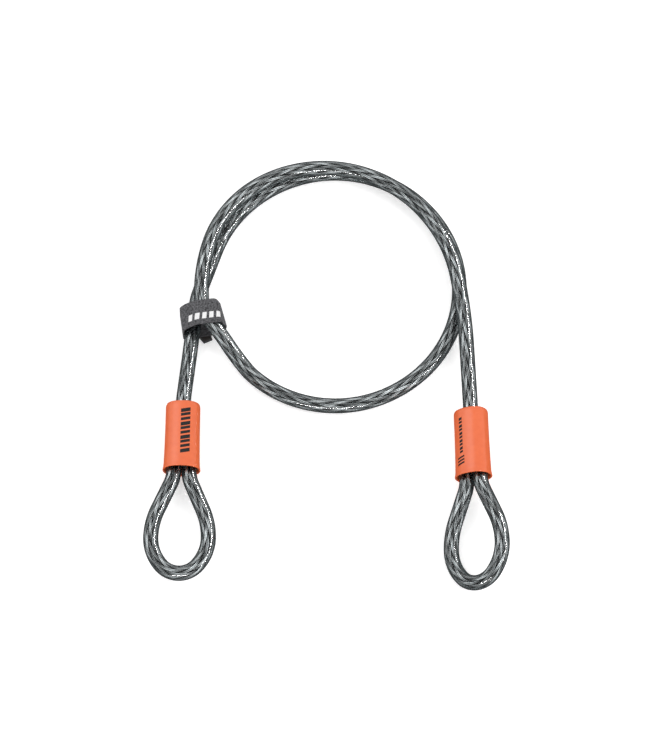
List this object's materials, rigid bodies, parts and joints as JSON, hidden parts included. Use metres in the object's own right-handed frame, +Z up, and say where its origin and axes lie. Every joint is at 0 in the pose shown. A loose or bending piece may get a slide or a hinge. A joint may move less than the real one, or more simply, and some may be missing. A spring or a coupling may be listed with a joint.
{
  "type": "looped security cable",
  "caption": "Braided steel security cable in a clear grey jacket, coiled and strapped, with a sleeved loop eye at each end for a lock shackle.",
  "frame": {"origin": "on the table, under the middle of the lower pass of the coil", "axes": "+Z up off the table, +Y from the two eyes towards the far side of the coil, +X to the right"},
  "size_m": [0.2387, 0.309, 0.0295],
  "materials": {
    "jacket": "gloss, translucent smoke grey",
    "braid": "braided bright wire",
    "core": "stranded wire",
    "ferrule": "pressed",
    "sleeve": "semi-gloss vinyl",
    "strap": "woven loop pile",
    "hook_tape": "hook tape"
  },
  "bodies": {
    "coil": {"jacket_coil": "jacket", "braid_coil": "braid", "core_coil": "core", "strap_webbing": "strap"},
    "strap_flap": {"strap_flap": "strap", "strap_hook_tape": "hook_tape"},
    "pass_1": {"jacket_pass_1": "jacket", "braid_pass_1": "braid", "core_pass_1": "core"},
    "pass_2": {"jacket_pass_2": "jacket", "braid_pass_2": "braid", "core_pass_2": "core"},
    "pass_3": {"jacket_pass_3": "jacket", "braid_pass_3": "braid", "core_pass_3": "core"},
    "pass_4": {"jacket_pass_4": "jacket", "braid_pass_4": "braid", "core_pass_4": "core"},
    "right_leg": {"jacket_right_leg": "jacket", "braid_right_leg": "braid", "core_right_leg": "core"},
    "right_end": {"jacket_right_end": "jacket", "braid_right_end": "braid", "core_right_end": "core", "right_ferrule": "ferrule", "right_sleeve": "sleeve"},
    "right_eye": {"jacket_right_eye": "jacket", "braid_right_eye": "braid", "core_right_eye": "core"},
    "left_leg": {"jacket_left_leg": "jacket", "braid_left_leg": "braid", "core_left_leg": "core"},
    "left_end": {"jacket_left_end": "jacket", "braid_left_end": "braid", "core_left_end": "core", "left_ferrule": "ferrule", "left_sleeve": "sleeve"},
    "left_eye": {"jacket_left_eye": "jacket", "braid_left_eye": "braid", "core_left_eye": "core"}
  },
  "joints": [
    {"name": "pass_unwind", "type": "hinge", "parent": "coil", "child": "pass_1", "pos_m": [-0.08458, 0.02742, 0.01805], "axis": [0.0175, 0, 0.9998], "range_deg": [0, 18]},
    {"name": "pass_unwind_2", "type": "hinge", "parent": "pass_1", "child": "pass_2", "pos_m": [-0.04535, 0.07536, 0.01736], "axis": [0.0175, 0, 0.9998], "range_deg": [0, 18]},
    {"name": "pass_unwind_3", "type": "hinge", "parent": "pass_2", "child": "pass_3", "pos_m": [0.01653, 0.08137, 0.01628], "axis": [0.0175, 0, 0.9998], "range_deg": [0, 18]},
    {"name": "pass_unwind_4", "type": "hinge", "parent": "pass_3", "child": "pass_4", "pos_m": [0.06006, 0.05272, 0.01552], "axis": [0.0175, 0, 0.9998], "range_deg": [0, 18]},
    {"name": "right_leg_swing", "type": "hinge", "parent": "pass_4", "child": "right_leg", "pos_m": [0.082, 0.00523, 0.01514], "axis": [0.0175, 0, 0.9998], "range_deg": [-15, 30]},
    {"name": "right_end_lift", "type": "hinge", "parent": "right_leg", "child": "right_end", "pos_m": [0.08776, -0.04732, 0.01504], "axis": [-0.999, -0.0419, 0.0174], "range_deg": [0, 30]},
    {"name": "right_eye_flex", "type": "hinge", "parent": "right_end", "child": "right_eye", "pos_m": [0.09083, -0.14027, 0.01499], "axis": [-0.8613, -0.0223, -0.5075], "range_deg": [0, 25]},
    {"name": "left_leg_swing", "type": "hinge", "parent": "coil", "child": "left_leg", "pos_m": [-0.0962, -0.04225, 0.00815], "axis": [0.0175, 0, 0.9998], "range_deg": [-30, 15]},
    {"name": "left_end_lift", "type": "hinge", "parent": "left_leg", "child": "left_end", "pos_m": [-0.09857, -0.06456, 0.00944], "axis": [-0.9942, 0.1063, 0.0174], "range_deg": [0, 30]},
    {"name": "left_eye_flex", "type": "hinge", "parent": "left_end", "child": "left_eye", "pos_m": [-0.10113, -0.1339, 0.01073], "axis": [-0.9998, 0.0105, 0.0175], "range_deg": [-3, 22]},
    {"name": "strap_open", "type": "hinge", "parent": "coil", "child": "strap_flap", "pos_m": [-0.09917, -0.02667, 0.0198], "axis": [-0.1426, 0.9898, 0.0025], "range_deg": [0, 95]}
  ],
  "couplings": [
    {"joint": "pass_unwind_2", "follows": "pass_unwind", "ratio": 1},
    {"joint": "pass_unwind_3", "follows": "pass_unwind", "ratio": 1},
    {"joint": "pass_unwind_4", "follows": "pass_unwind", "ratio": 1}
  ]
}
